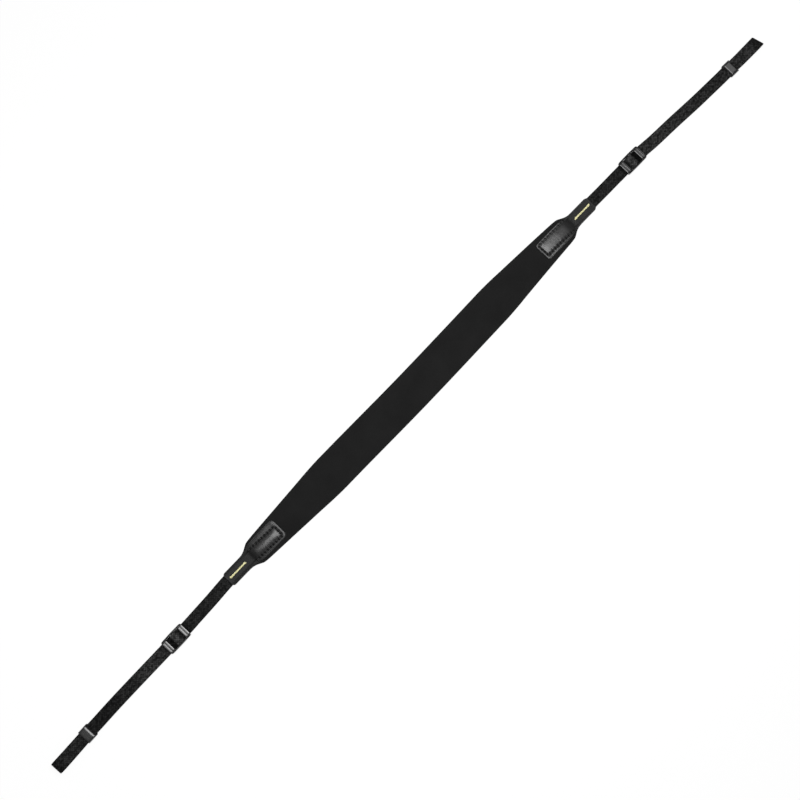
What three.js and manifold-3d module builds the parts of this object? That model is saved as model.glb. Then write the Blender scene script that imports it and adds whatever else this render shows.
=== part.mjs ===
// Binocular strap, laid out straight on a flat surface: a soft neck pad, a leather tab sewn on each end,
// and from each tab a nylon webbing that runs through a slider and a keeper to a loop for the binoculars.
// Millimetres, +X along the strap, +Z up. The origin is in the middle of the pad, on its underside.

import * as THREE from 'three';
import { mergeVertices } from 'three/addons/utils/BufferGeometryUtils.js';
import Module from 'manifold-3d';

const wasm = await Module();
wasm.setup();

// Gap between pieces that touch on the real strap
const GAP = 0.3;
const LAYER_GAP = 0.35;

// Webbing: its width and thickness set the scale of all the rest
const WEB_WIDTH = 12.5;
const WEB_THICK = 1.25;
const WEB_EDGE = 0.35;
const LAYER_STEP = WEB_THICK + LAYER_GAP;

// Where the pieces of each end sit, from the middle of the pad outward: the start of the leather patch and of
// the webbing sewn in under it, the slider, the keeper and the loop. The patch margins and the shift of the
// sewn-in webbing are measured across the strap, upper is +Y. The patch corner is a radius, the fold skew
// slants the loop's end, and the lean is how far the keeper's top stands outward for its height.
const ENDS = [
  {
    name: 'left', sign: -1, slider: 327.3, keeper: 446.5, keeperLean: 0.35, loopEnd: 489.6,
    foldSkew: 0.03, sewnStart: 190, sewnShift: -1.7,
    patchStart: 184.2, patchUpper: 10.8, patchLower: 10.5, patchCorner: 3.8,
  },
  {
    name: 'right', sign: 1, slider: 314.1, keeper: 451.2, keeperLean: -0.08, loopEnd: 491.5,
    foldSkew: -0.25, sewnStart: 187.9, sewnShift: 0.7,
    patchStart: 183.4, patchUpper: 9.4, patchLower: 10.3, patchCorner: 2.8,
  },
];

// How the strap's middle line drifts sideways as it lies
const LAY = [
  { along: -495, across: -4.5 },
  { along: -450, across: -2.9 },
  { along: -400, across: -1.5 },
  { along: -330, across: -1.1 },
  { along: -282, across: 0.3 },
  { along: -250, across: 1.55 },
  { along: -100, across: 1.05 },
  { along: 0, across: 0 },
  { along: 190, across: 1.45 },
  { along: 290, across: 0.75 },
  { along: 325, across: 0.35 },
  { along: 345, across: -1.2 },
  { along: 370, across: -2.45 },
  { along: 410, across: -4.9 },
  { along: 495, across: -7.4 },
];

// Neck pad: half its width and its thickness, from the middle to the end of the tongue under the leather neck
const PAD_SECTIONS = [
  { along: 0, half: 19.25, thick: 5.0 },
  { along: 112, half: 19.25, thick: 5.0 },
  { along: 126, half: 18.85, thick: 5.0 },
  { along: 146, half: 17.6, thick: 5.0 },
  { along: 185, half: 15.25, thick: 4.9 },
  { along: 205, half: 14.05, thick: 4.5 },
  { along: 213, half: 13.5, thick: 3.9 },
  { along: 218, half: 12.85, thick: 3.3 },
  { along: 221, half: 11.5, thick: 2.9 },
  { along: 225.5, half: 9.2, thick: 2.4 },
  { along: 230, half: 7.95, thick: 2.1 },
  { along: 236, half: 7.7, thick: 2.0 },
  { along: 251.5, half: 7.6, thick: 2.0 },
  { along: 253.7, half: 6.8, thick: 2.0 },
  { along: 254.5, half: 5.4, thick: 2.0 },
];
const PAD_STEPS_PER_ROW = 2;
// The rounded rim: its width and the heights where top and underside meet it, as shares of the thickness
const PAD_RIM = { width: 1.2, top: 0.45, underside: 0.3, undersideWidth: 0.4 };
// The columns of points across half of the pad, as shares of the rim's width in from the edge
const PAD_RIM_COLUMNS = [0, 0.12, 0.4, 1];

// Leather tab: a patch on the pad that narrows into a neck over the webbing
const TAB = { end: 255, thick: 1.4, neckHalf: 7.75, neckCorner: 3 };
// How much of the patch's margin beyond the neck's width is left along the tab
const TAB_TAPER = [
  { along: 183, share: 1 },
  { along: 205, share: 1 },
  { along: 216, share: 0.85 },
  { along: 221, share: 0.55 },
  { along: 225, share: 0.2 },
  { along: 229, share: 0 },
  { along: 255, share: 0 },
];
const TAB_STATIONS = [195, 200, 205, 210, 214, 218, 221, 224, 227, 230, 236, 244, 251.8];
const CORNER_STEPS = 5;
const SHORTEST_STEP = 0.3;
// The columns of points across half of the tab: distance from the webbing's middle, and its limit as a share
// of the half width
const TAB_COLUMNS = [
  { from: 3.0, limit: 0.4 },
  { from: 6.15, limit: 0.74 },
  { from: 6.85, limit: 0.83 },
  { from: 7.65, limit: 0.91 },
];
const TAB_EDGE = { width: 0.5, chamfer: 0.35 };
// The leather drops from the webbing's top to the pad between these distances from the webbing's middle
const DROP = { from: 6.35, to: 7.65 };

// The leather rises onto the sewn-in end of the webbing over a short ramp, with a station before and after it
const SEWN_RAMP = { length: 2.4, before: 3, after: 0.2 };
const SEWN_STRAIGHT_FROM = 229;

// Slider with two end bars over the webbing and a low middle bar under it
const SLIDER = {
  length: 26, width: 16, endWidth: 15.6, corner: 1.9,
  railHeight: 4.9, railArch: 0.8, railThick: 1.4, railCorner: 1.6,
  barLength: 5.5, barTop: 5.6, barRound: 1.1,
  middleAt: -0.6, middleLength: 3.6, middleHeight: 1.6, middleRound: 0.7,
};
const HUMP = { rise: SLIDER.middleHeight + GAP, topTo: 1.2, footAt: 8 };
const TAIL_PAST_SLIDER = 9;

// Keeper sleeve round both layers of the webbing, with round top edges
const KEEPER = {
  length: 10, width: 14.9, height: 6.2, corner: 2.4, floor: 1.2, roof: 1.25, wall: 0.9, innerCorner: 0.6,
  topRound: 2.2,
};
const LIFT = { rise: KEEPER.floor + GAP, levelTo: KEEPER.length / 2 + 1.4, footAt: 14 };

// End loop: radius of the webbing's fold at its middle layer
const LOOP_RADIUS = 3.5;
const LOOP_SKEW_LENGTH = 14;
const SAG_BY_NECK = 0.9;

// Steps along each stretch of the webbing, and round each corner of the moulded pieces
const WEB_STEPS = {
  span: 6, tail: 2, humpSide: 6, humpTop: 2, run: 6,
  liftSide: 5, liftTop: 2, loopFoot: 4, loopSide: 5, fold: 10,
};
const ARC_STEPS = 4;
const MERGE_WITHIN = 1e-4;
// How far a trimming solid stands past what it trims
const TRIM_MARGIN = 1;

// Colours and finishes
const MATERIALS = {
  neoprene: new THREE.MeshStandardMaterial({ color: 0x222223, roughness: 0.95, metalness: 0 }),
  leather: new THREE.MeshStandardMaterial({ color: 0x343333, roughness: 0.45, metalness: 0 }),
  webbing: new THREE.MeshStandardMaterial({ color: 0x242425, roughness: 0.85, metalness: 0 }),
  slider: new THREE.MeshStandardMaterial({ color: 0x1e1e1f, roughness: 0.3, metalness: 0 }),
  keeper: new THREE.MeshStandardMaterial({ color: 0x303030, roughness: 0.4, metalness: 0 }),
};

// 0 before the first place, 1 after the second, with a smooth rise between them
function smooth(at, from, to) {
  return THREE.MathUtils.smoothstep(at, from, to);
}

// Places from one to another in equal steps, without the first
function steps(from, to, count) {
  return Array.from({ length: count }, (_, i) => from + ((to - from) * (i + 1)) / count);
}

// Slope of a table's column at one row, level at a peak or a dip so that the curve never overshoots
function slopeAtRow(rows, column, i) {
  if (i === 0 || i === rows.length - 1) return 0;
  const before = (rows[i][column] - rows[i - 1][column]) / (rows[i].along - rows[i - 1].along);
  const after = (rows[i + 1][column] - rows[i][column]) / (rows[i + 1].along - rows[i].along);
  return before * after <= 0 ? 0 : (2 * before * after) / (before + after);
}

// Value of a table's column at a place along the strap, on a smooth curve through the rows
function tableValue(rows, column, along) {
  const last = rows.length - 1;
  if (along <= rows[0].along) return rows[0][column];
  if (along >= rows[last].along) return rows[last][column];
  const next = rows.findIndex((row) => row.along > along);
  const [a, b] = [rows[next - 1], rows[next]];
  const span = b.along - a.along;
  const t = (along - a.along) / span;
  const rise = smooth(t, 0, 1);
  const startBend = slopeAtRow(rows, column, next - 1) * span * t * (1 - t) ** 2;
  const endBend = slopeAtRow(rows, column, next) * span * t ** 2 * (1 - t);
  return a[column] + (b[column] - a[column]) * rise + startBend - endBend;
}

// Direction of the strap's middle line in plan
function headingAt(x) {
  const reach = 0.5;
  const drift = tableValue(LAY, 'across', x + reach) - tableValue(LAY, 'across', x - reach);
  return Math.atan(drift / (2 * reach));
}

// Point of the strap as it lies, from its place along, across and above
function onStrap(x, across, height) {
  const heading = headingAt(x);
  const y = tableValue(LAY, 'across', x);
  return new THREE.Vector3(x - across * Math.sin(heading), y + across * Math.cos(heading), height);
}

// Volume inside a closed list of triangles, negative where they face inward
function signedVolume(points, triangles) {
  const volumes = triangles.map(([a, b, c]) => points[a].dot(points[b].clone().cross(points[c])) / 6);
  return volumes.reduce((sum, volume) => sum + volume, 0);
}

// Closed solid through cross-sections. Each section is a list of columns with a top and an underside point.
function loft(sections) {
  const columns = sections[0].length;
  const ringSize = 2 * columns;
  const points = sections.flatMap((section) => [
    ...section.map((column) => column.top),
    ...section.map((column) => column.underside).reverse(),
  ]);
  const at = (section, k) => section * ringSize + (k % ringSize);
  const triangles = [];
  const quad = (a, b, c, d) => triangles.push([a, b, c], [a, c, d]);
  for (let s = 0; s + 1 < sections.length; s++) {
    for (let k = 0; k < ringSize; k++) {
      quad(at(s, k), at(s + 1, k), at(s + 1, k + 1), at(s, k + 1));
    }
  }
  const last = sections.length - 1;
  for (let k = 0; k + 1 < columns; k++) {
    const below = ringSize - 1 - k;
    quad(at(0, k), at(0, k + 1), at(0, below - 1), at(0, below));
    quad(at(last, below), at(last, below - 1), at(last, k + 1), at(last, k));
  }
  if (signedVolume(points, triangles) < 0) triangles.forEach((triangle) => triangle.reverse());
  const geometry = new THREE.BufferGeometry().setFromPoints(points);
  geometry.setIndex(triangles.flat());
  geometry.computeVertexNormals();
  return geometry;
}

// Closed geometry as a solid that can be joined and cut
function solidOf(geometry) {
  const bare = new THREE.BufferGeometry();
  bare.setAttribute('position', geometry.getAttribute('position'));
  bare.setIndex(geometry.getIndex());
  const merged = mergeVertices(bare, MERGE_WITHIN);
  return new wasm.Manifold(new wasm.Mesh({
    numProp: 3,
    vertProperties: new Float32Array(merged.getAttribute('position').array),
    triVerts: new Uint32Array(merged.getIndex().array),
  }));
}

function geometryOf(solid) {
  const mesh = solid.getMesh();
  const geometry = new THREE.BufferGeometry();
  geometry.setAttribute('position', new THREE.BufferAttribute(mesh.vertProperties, 3));
  geometry.setIndex(new THREE.BufferAttribute(mesh.triVerts, 1));
  geometry.computeVertexNormals();
  return geometry;
}

// Rectangle with round corners, as a shape or as a hole in one
function roundedRectangle(Outline, left, low, right, high, radius) {
  const outline = new Outline();
  outline.absarc(right - radius, low + radius, radius, -Math.PI / 2, 0);
  outline.absarc(right - radius, high - radius, radius, 0, Math.PI / 2);
  outline.absarc(left + radius, high - radius, radius, Math.PI / 2, Math.PI);
  outline.absarc(left + radius, low + radius, radius, Math.PI, 1.5 * Math.PI);
  outline.closePath();
  return outline;
}

// Prism with its profile in the XZ plane, centred across the strap
function prismAcross(profile, width) {
  const options = { depth: width, bevelEnabled: false, curveSegments: ARC_STEPS };
  const geometry = new THREE.ExtrudeGeometry(profile, options);
  return geometry.rotateX(Math.PI / 2).translate(0, width / 2, 0);
}

// Neck pad
function padValues(along) {
  const half = tableValue(PAD_SECTIONS, 'half', Math.abs(along));
  const thick = tableValue(PAD_SECTIONS, 'thick', Math.abs(along));
  return { half, thick, rim: PAD_RIM.width * thick };
}

// Drop of a rounded rim, from 0 at its inner side to 1 at its edge
function rimDrop(across, half, width) {
  const into = THREE.MathUtils.clamp((Math.abs(across) - (half - width)) / width, 0, 1);
  return 1 - Math.sqrt(1 - into * into);
}

function padTop(along, across) {
  const { half, thick, rim } = padValues(along);
  return thick * (1 - (1 - PAD_RIM.top) * rimDrop(across, half, rim));
}

function padUnderside(along, across) {
  const { half, thick } = padValues(along);
  return thick * PAD_RIM.underside * rimDrop(across, half, PAD_RIM.undersideWidth * thick);
}

function neckPad() {
  const outward = PAD_SECTIONS.flatMap((row, i) => {
    if (i === 0) return [];
    return steps(PAD_SECTIONS[i - 1].along, row.along, PAD_STEPS_PER_ROW);
  });
  const stations = [...outward.map((along) => -along).reverse(), 0, ...outward];
  return loft(stations.map((along) => {
    const { half, rim } = padValues(along);
    const lower = PAD_RIM_COLUMNS.map((share) => -half + share * rim);
    const upper = lower.map((across) => -across).reverse();
    return [...lower, 0, ...upper].map((across) => ({
      top: onStrap(along, across, padTop(along, across)),
      underside: onStrap(along, across, padUnderside(along, across)),
    }));
  }));
}

// Leather tab
function sewnShift(end, along) {
  return end.sewnShift * (1 - smooth(along, end.sewnStart, SEWN_STRAIGHT_FROM));
}

// Loss of width at a round corner, at a distance from the end
function cornerInset(fromEnd, radius) {
  const short = Math.max(0, radius - fromEnd);
  return radius - Math.sqrt(radius * radius - short * short);
}

function tabHalf(end, margin, along) {
  const full = TAB.neckHalf + (margin - TAB.neckHalf) * tableValue(TAB_TAPER, 'share', along);
  const patchInset = cornerInset(along - end.patchStart, end.patchCorner);
  return full - patchInset - cornerInset(TAB.end - along, TAB.neckCorner);
}

// Underside of the leather: on the pad, and raised over the webbing that is sewn in between
function tabUnderside(end, along, across) {
  const fromWebbing = Math.abs(across - sewnShift(end, along));
  const overWebbing = 1 - smooth(fromWebbing, DROP.from, DROP.to);
  const begun = smooth(along, end.sewnStart - SEWN_RAMP.length, end.sewnStart - GAP);
  const onPad = padTop(along, across) + GAP;
  const onWebbing = padTop(along, 0) + GAP + WEB_THICK + GAP;
  return onPad + (onWebbing - onPad) * overWebbing * begun;
}

function leatherTab(end) {
  const cornerStations = (from, radius, sign) => {
    const turns = steps(0, Math.PI / 2, CORNER_STEPS);
    return [from, ...turns.map((turn) => from + sign * radius * (1 - Math.cos(turn)))];
  };
  const rampFrom = end.sewnStart - SEWN_RAMP.before;
  const patchCorner = cornerStations(end.patchStart, end.patchCorner, 1);
  const stations = [
    ...patchCorner.filter((along) => along < rampFrom - SHORTEST_STEP),
    rampFrom,
    end.sewnStart - SEWN_RAMP.after,
    ...TAB_STATIONS,
    ...cornerStations(TAB.end, TAB.neckCorner, -1).reverse().filter((along) => along > TAB_STATIONS.at(-1)),
  ];
  return loft(stations.map((along) => {
    const shift = sewnShift(end, along);
    const halfColumns = (margin, sign) => {
      const half = tabHalf(end, margin, along);
      const inner = TAB_COLUMNS.map(({ from, limit }) => Math.min(from + sign * shift, limit * half));
      return [...inner, half - TAB_EDGE.width, half].map((across) => ({
        across: sign * across,
        chamfer: across === half ? TAB_EDGE.chamfer : 0,
      }));
    };
    const columns = [
      ...halfColumns(end.patchLower, -1).reverse(),
      { across: shift, chamfer: 0 },
      ...halfColumns(end.patchUpper, 1),
    ];
    return columns.map(({ across, chamfer }) => {
      const low = tabUnderside(end, along, across);
      return {
        top: onStrap(end.sign * along, across, low + TAB.thick - chamfer),
        underside: onStrap(end.sign * along, across, low + chamfer),
      };
    });
  }));
}

// Webbing: middle height of its lower layer, which lies on the surface and rises in slider and keeper
function lowerHeight(end, along) {
  const hump = HUMP.rise * (1 - smooth(Math.abs(along - humpCentre(end)), HUMP.topTo, HUMP.footAt));
  const lift = LIFT.rise * (1 - smooth(Math.abs(along - end.keeper), LIFT.levelTo, LIFT.footAt));
  return WEB_THICK / 2 + hump + lift;
}

function humpCentre(end) {
  return end.slider + SLIDER.middleAt;
}

function tailEnd(end) {
  return end.slider - SLIDER.length / 2 - TAIL_PAST_SLIDER;
}

// Middle height of the upper layer: on the pad, slack up to the tail, on the lower layer, into the loop
function upperHeight(end, along) {
  const onPad = padTop(Math.min(along, TAB.end), 0) + GAP + WEB_THICK / 2;
  const onLower = lowerHeight(end, along) + LAYER_STEP;
  if (along < tailEnd(end)) {
    const share = THREE.MathUtils.clamp((along - TAB.end) / (tailEnd(end) - TAB.end), 0, 1);
    const sag = SAG_BY_NECK * Math.sin(Math.PI * share) ** 2;
    return onPad + (onLower - onPad) * smooth(share, 0, 1) - sag;
  }
  const loopFrom = end.keeper + LIFT.levelTo;
  if (along < loopFrom) return onLower;
  const inLoop = lowerHeight(end, loopFrom) + LAYER_STEP;
  const loopTop = WEB_THICK / 2 + 2 * LOOP_RADIUS;
  return inLoop + (loopTop - inLoop) * smooth(along, loopFrom, foldCentre(end));
}

function foldCentre(end) {
  return end.loopEnd - WEB_THICK / 2 - LOOP_RADIUS;
}

// Places along the double run from the tail's end to the fold
function doubleStations(end) {
  const stretches = [
    { to: humpCentre(end) - HUMP.footAt, count: WEB_STEPS.tail },
    { to: humpCentre(end) - HUMP.topTo, count: WEB_STEPS.humpSide },
    { to: humpCentre(end) + HUMP.topTo, count: WEB_STEPS.humpTop },
    { to: humpCentre(end) + HUMP.footAt, count: WEB_STEPS.humpSide },
    { to: end.keeper - LIFT.footAt, count: WEB_STEPS.run },
    { to: end.keeper - LIFT.levelTo, count: WEB_STEPS.liftSide },
    { to: end.keeper + LIFT.levelTo, count: WEB_STEPS.liftTop },
    { to: end.keeper + LIFT.footAt, count: WEB_STEPS.loopFoot },
    { to: foldCentre(end), count: WEB_STEPS.loopSide },
  ];
  const places = [tailEnd(end)];
  for (const { to, count } of stretches) places.push(...steps(places.at(-1), to, count));
  return places;
}

// The webbing's whole way, from its sewn-in end out to the fold and back to the tail
function webbingPath(end) {
  const sewn = [end.sewnStart, ...TAB_STATIONS, TAB.end];
  const span = steps(TAB.end, tailEnd(end), WEB_STEPS.span).slice(0, -1);
  const double = doubleStations(end);
  const fold = steps(Math.PI / 2, -Math.PI / 2, WEB_STEPS.fold).slice(0, -1);
  return [
    ...[...sewn, ...span, ...double].map((along) => ({ along, height: upperHeight(end, along) })),
    ...fold.map((turn) => ({
      along: foldCentre(end) + LOOP_RADIUS * Math.cos(turn),
      height: WEB_THICK / 2 + LOOP_RADIUS * (1 + Math.sin(turn)),
    })),
    ...double.reverse().map((along) => ({ along, height: lowerHeight(end, along) })),
  ];
}

function webbing(end) {
  const path = webbingPath(end);
  const half = WEB_WIDTH / 2;
  const columns = [-half, -half + WEB_EDGE, half - WEB_EDGE, half];
  return loft(path.map((point, i) => {
    const before = path[Math.max(i - 1, 0)];
    const after = path[Math.min(i + 1, path.length - 1)];
    const pitch = Math.atan2(after.height - before.height, after.along - before.along);
    const skew = end.foldSkew * smooth(point.along, end.loopEnd - LOOP_SKEW_LENGTH, end.loopEnd);
    const place = (across, out) => {
      const along = point.along - out * Math.sin(pitch) + skew * across;
      const shifted = across + sewnShift(end, point.along);
      return onStrap(end.sign * along, shifted, point.height + out * Math.cos(pitch));
    };
    return columns.map((across) => {
      const out = WEB_THICK / 2 - (Math.abs(across) === half ? WEB_EDGE : 0);
      return { top: place(across, out), underside: place(across, -out) };
    });
  }));
}

// Slider: two rails, two end bars and a middle bar, trimmed to a plan with bowed sides and round corners
function sliderPlan() {
  const { length, width, endWidth, corner } = SLIDER;
  const [x, y] = [length / 2, endWidth / 2];
  const plan = new THREE.Shape();
  plan.absarc(x - corner, -y + corner, corner, -Math.PI / 2, 0);
  plan.absarc(x - corner, y - corner, corner, 0, Math.PI / 2);
  plan.quadraticCurveTo(0, width - y, -x + corner, y);
  plan.absarc(-x + corner, y - corner, corner, Math.PI / 2, Math.PI);
  plan.absarc(-x + corner, -y + corner, corner, Math.PI, 1.5 * Math.PI);
  plan.quadraticCurveTo(0, -width + y, x - corner, -y);
  return plan;
}

// Side view of a rail: round corners, and a top that arches between the end bars
function railProfile() {
  const { length, railHeight, railArch, railCorner } = SLIDER;
  const [x, r] = [length / 2, railCorner];
  const profile = new THREE.Shape();
  profile.absarc(x - r, r, r, -Math.PI / 2, 0);
  profile.absarc(x - r, railHeight - r, r, 0, Math.PI / 2);
  profile.quadraticCurveTo(0, railHeight + 2 * railArch, -x + r, railHeight);
  profile.absarc(-x + r, railHeight - r, r, Math.PI / 2, Math.PI);
  profile.absarc(-x + r, r, r, Math.PI, 1.5 * Math.PI);
  return profile;
}

function slider() {
  const { length, width, railThick, barLength, barTop, barRound, middleAt, middleLength } = SLIDER;
  const reach = length / 2;
  const railCentre = (width - railThick) / 2;
  const barLow = WEB_THICK + LAYER_STEP + GAP;
  const rail = solidOf(prismAcross(railProfile(), railThick));
  const barAt = (centre, across, low, high, round) => {
    const [left, right] = [centre - across / 2, centre + across / 2];
    return solidOf(prismAcross(roundedRectangle(THREE.Shape, left, low, right, high, round), width));
  };
  const joined = rail.translate([0, railCentre, 0])
    .add(rail.translate([0, -railCentre, 0]))
    .add(barAt(-reach + barLength / 2, barLength, barLow, barTop, barRound))
    .add(barAt(reach - barLength / 2, barLength, barLow, barTop, barRound))
    .add(barAt(middleAt, middleLength, 0, SLIDER.middleHeight, SLIDER.middleRound));
  const plan = { depth: 2 * barTop, bevelEnabled: false, curveSegments: ARC_STEPS };
  const trim = new THREE.ExtrudeGeometry(sliderPlan(), plan).translate(0, 0, -barTop / 2);
  return geometryOf(joined.intersect(solidOf(trim)));
}

// Side view of the keeper: a flat base and round top edges
function keeperProfile() {
  const { length, height, topRound } = KEEPER;
  const x = length / 2;
  const profile = new THREE.Shape();
  profile.moveTo(-x, -TRIM_MARGIN);
  profile.lineTo(x, -TRIM_MARGIN);
  profile.absarc(x - topRound, height - topRound, topRound, 0, Math.PI / 2);
  profile.absarc(-x + topRound, height - topRound, topRound, Math.PI / 2, Math.PI);
  profile.closePath();
  return profile;
}

// Keeper: a flat sleeve trimmed to its side view, then slanted
function keeper(lean) {
  const { length, width, height, corner, floor, roof, wall, innerCorner } = KEEPER;
  const [y, innerY] = [width / 2, width / 2 - wall];
  const section = roundedRectangle(THREE.Shape, -y, 0, y, height, corner);
  section.holes.push(roundedRectangle(THREE.Path, -innerY, floor, innerY, height - roof, innerCorner));
  const depth = length + 2 * TRIM_MARGIN;
  const sleeve = new THREE.ExtrudeGeometry(section, { depth, bevelEnabled: false, curveSegments: ARC_STEPS });
  const alongX = new THREE.Matrix4().makeBasis(
    new THREE.Vector3(0, 1, 0), new THREE.Vector3(0, 0, 1), new THREE.Vector3(1, 0, 0),
  );
  sleeve.translate(0, 0, -depth / 2).applyMatrix4(alongX);
  const sideView = prismAcross(keeperProfile(), width + 2 * TRIM_MARGIN);
  const trimmed = geometryOf(solidOf(sleeve).intersect(solidOf(sideView)));
  const slant = new THREE.Matrix4().makeShear(0, 0, 0, 0, lean, 0);
  return trimmed.applyMatrix4(slant).translate((-lean * height) / 2, 0, 0);
}

// Hardware turned to the strap's direction where it sits, its own +X outward
function seat(mesh, end, along) {
  const x = end.sign * along;
  mesh.position.copy(onStrap(x, 0, 0));
  mesh.rotation.z = headingAt(x) + (end.sign < 0 ? Math.PI : 0);
  return mesh;
}

function named(name, geometry, material) {
  const mesh = new THREE.Mesh(geometry, material);
  mesh.name = name;
  return mesh;
}

const strap = new THREE.Group();
strap.name = 'binocular_strap';
strap.add(named('neck_pad', neckPad(), MATERIALS.neoprene));
for (const end of ENDS) {
  strap.add(
    named(`leather_tab_${end.name}`, leatherTab(end), MATERIALS.leather),
    named(`webbing_${end.name}`, webbing(end), MATERIALS.webbing),
    seat(named(`slider_${end.name}`, slider(), MATERIALS.slider), end, end.slider),
    seat(named(`keeper_${end.name}`, keeper(end.keeperLean), MATERIALS.keeper), end, end.keeper),
  );
}

export default strap;
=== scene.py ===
# Binocular strap, dressed for its picture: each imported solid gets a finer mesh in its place, with the weave,
# stitches and finish of the real piece. Millimetres, +X along the strap, +Z up, the origin under the middle
# of the neck pad. The main sizes repeat those of the solids, with slider rails a little thicker inward.

from math import cos, pi, radians, sin, sqrt
from types import SimpleNamespace as Values

import bmesh
import bpy
import numpy as np
from mathutils import Matrix, Vector


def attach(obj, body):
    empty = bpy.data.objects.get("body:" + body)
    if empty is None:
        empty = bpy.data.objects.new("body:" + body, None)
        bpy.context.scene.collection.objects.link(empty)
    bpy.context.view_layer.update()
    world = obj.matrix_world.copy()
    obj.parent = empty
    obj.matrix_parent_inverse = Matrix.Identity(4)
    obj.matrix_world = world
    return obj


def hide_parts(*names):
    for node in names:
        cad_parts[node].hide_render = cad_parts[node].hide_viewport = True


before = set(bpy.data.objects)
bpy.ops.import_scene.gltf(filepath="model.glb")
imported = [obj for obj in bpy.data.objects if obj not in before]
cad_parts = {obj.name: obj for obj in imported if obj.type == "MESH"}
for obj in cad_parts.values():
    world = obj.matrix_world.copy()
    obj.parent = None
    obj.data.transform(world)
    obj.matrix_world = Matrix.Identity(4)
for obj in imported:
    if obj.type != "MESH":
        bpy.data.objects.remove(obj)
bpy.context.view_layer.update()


def table(columns, *rows):
    """Table with named columns, each an array of numbers."""
    return dict(zip(columns.split(), np.array(rows, float).T))


MM = 0.001
# Space between pieces that lie on each other
GAP = 0.3

# Webbing
WEB_WIDTH = 12.5
WEB_THICK = 1.25
WEB_EDGE = Values(drop=0.35, width=0.7)
LAYER_STEP = 1.6

# Where the pieces of each end sit, from the middle of the pad outward, and how they look. Upper is +Y. Crown
# is the height of the patch's pillow, and crease the place where the leather bends into the neck. Gloss is
# from 0 to 1: on the pillow, on the border beside it, on the border at the patch's end and on the cut rim.
# Rim highlight is how much lighter that rim is painted, a painted highlight. A keeper's bevel is 1 for
# straight top edges and 2 for round ones.
ENDS = [
    Values(
        name="left", sign=-1, slider=327.3, keeper=446.5, keeper_lean=0.35, loop_end=489.6,
        fold_skew=0.03, sewn_start=190.0, sewn_shift=-1.7,
        patch_start=184.2, patch_upper=10.8, patch_lower=10.5, patch_corner=3.8,
        seam_start=187.5, seam_half=6.2, crown=1.0, crease=223.2,
        pillow_gloss=0.7, border_gloss=0.2, end_gloss=0.4, rim_gloss=1.0, rim_wear=0.0,
        slider_gloss=1.0, keeper_gloss=0.8, keeper_bevel=2.0,
    ),
    Values(
        name="right", sign=1, slider=314.1, keeper=451.2, keeper_lean=-0.08, loop_end=491.5,
        fold_skew=-0.25, sewn_start=187.9, sewn_shift=0.7,
        patch_start=183.4, patch_upper=9.4, patch_lower=10.3, patch_corner=2.8,
        seam_start=185.4, seam_half=7.3, crown=0.45, crease=226.3,
        pillow_gloss=0.88, border_gloss=0.85, end_gloss=0.2, rim_gloss=0.2, rim_wear=1.0,
        slider_gloss=0.5, keeper_gloss=0.6, keeper_bevel=1.15,
    ),
]

# How the strap's middle line drifts sideways as it lies
LAY = table(
    "along across",
    (-495, -4.5), (-450, -2.9), (-400, -1.5), (-330, -1.1), (-282, 0.3), (-250, 1.55), (-100, 1.05), (0, 0),
    (190, 1.45), (290, 0.75), (325, 0.35), (345, -1.2), (370, -2.45), (410, -4.9), (495, -7.4),
)

# Neck pad: half its width and its thickness, from the middle to the end of the tongue
PAD_SECTIONS = table(
    "along half thick",
    (0, 19.25, 5.0),
    (112, 19.25, 5.0),
    (126, 18.85, 5.0),
    (146, 17.6, 5.0),
    (185, 15.25, 4.9),
    (205, 14.05, 4.5),
    (213, 13.5, 3.9),
    (218, 12.85, 3.3),
    (221, 11.5, 2.9),
    (225.5, 9.2, 2.4),
    (230, 7.95, 2.1),
    (236, 7.7, 2.0),
    (251.5, 7.6, 2.0),
    (253.7, 6.8, 2.0),
    (254.5, 5.4, 2.0),
)
PAD_RIM = Values(width=1.2, top=0.45, underside=0.3, underside_width=0.4)
PAD_STEP = 1.0
PAD_COLUMNS = 64
# Soft unevenness of the pad's top, which ends before the leather and at the rim
PAD_UNEVEN = Values(height=0.05, length=26.0, seed=3, full_to=170.0, gone_at=184.0, rim_share=0.5)

# Leather tab: a patch on the pad that narrows into a neck over the webbing
TAB = Values(end=255.0, thick=1.4, neck_half=7.75, neck_corner=3.0)
TAB_TAPER = table(
    "along share",
    (183, 1.0), (205, 1.0), (216, 0.85), (221, 0.55), (225, 0.2), (229, 0.0), (255, 0.0),
)
TAB_STEP = 0.28
TAB_COLUMNS = 96
TAB_ROUND = Values(top=0.8, underside=0.35)
OUTLINE_STEPS = Values(sides=400, corners=60)
SEWN_STRAIGHT_FROM = 229.0

# Seam of the patch: a U of stitches round the sewn-in webbing, open towards the neck
SEAM = Values(end=222.0, fade_before=1.0, fade_after=3.0, corner=2.0, depth=0.12, width=0.5)
SEAM_STEPS = Values(row=80, bend=20)
STITCH = Values(pitch=3.7, length=2.5, radius=0.36, taper=0.6, arch=0.08, dive=0.6, rings=9, sides=8)
PUCKER = Values(depth=0.6, along=0.85, inward=1.5, outward=0.75)

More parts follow.
